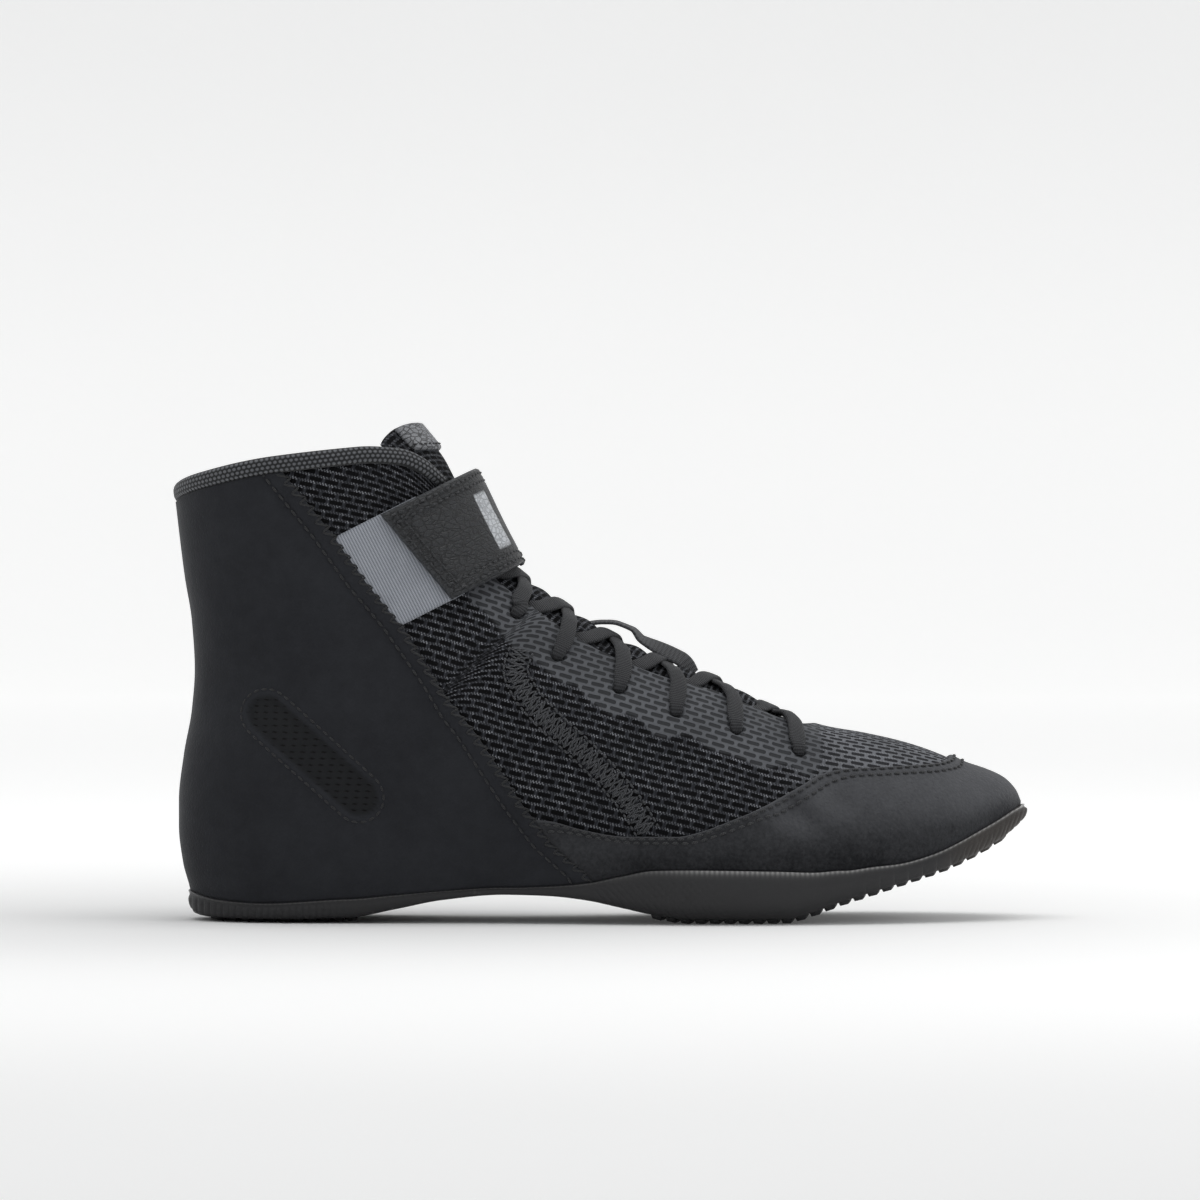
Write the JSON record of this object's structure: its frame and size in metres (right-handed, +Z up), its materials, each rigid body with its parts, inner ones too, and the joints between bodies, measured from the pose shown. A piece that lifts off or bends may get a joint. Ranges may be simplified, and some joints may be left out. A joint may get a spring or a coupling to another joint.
{
  "type": "wrestling shoe",
  "caption": "High-cut lace-up wrestling shoe for the right foot with a mesh upper, suede heel and toe, an ankle strap and a thin ribbed rubber sole.",
  "frame": {"origin": "on the floor under the middle of the heel, at the centre of the round heel pad", "axes": "+X from heel to toe, +Z up, the outer side of the foot faces -Y"},
  "size_m": [0.2938, 0.0979, 0.1696],
  "materials": {
    "sole_rubber": "moulded rubber, satin with a glossier top edge",
    "lining": "matt fabric sock lining",
    "knit": "open brick-like mesh with a fused film around the eyelets",
    "tongue_knit": "padded mesh",
    "suede": "fine suede, matt",
    "nubuck": "nubuck, matt with a pale nap",
    "binding": "thick knit binding",
    "strap_leather": "grained leather, soft sheen",
    "elastic": "pale grey woven elastic",
    "landing_fabric": "short loop pile",
    "lace": "flat woven lace",
    "webbing": "ribbed webbing"
  },
  "bodies": {
    "root": {"outsole": "sole_rubber", "insole": "lining", "upper": "knit", "tongue": "tongue_knit", "heel_panel": "suede", "toe_guard": "nubuck", "collar_binding": "binding", "tongue_cap": "strap_leather", "strap_elastic": "elastic", "strap": "strap_leather", "strap_landing": "landing_fabric", "lace_crossing_1": "lace", "lace_crossing_2": "lace", "lace_crossing_3": "lace", "lace_crossing_4": "lace", "lace_crossing_5": "lace", "lace_crossing_6": "lace", "lace_keeper": "webbing"}
  },
  "joints": []
}
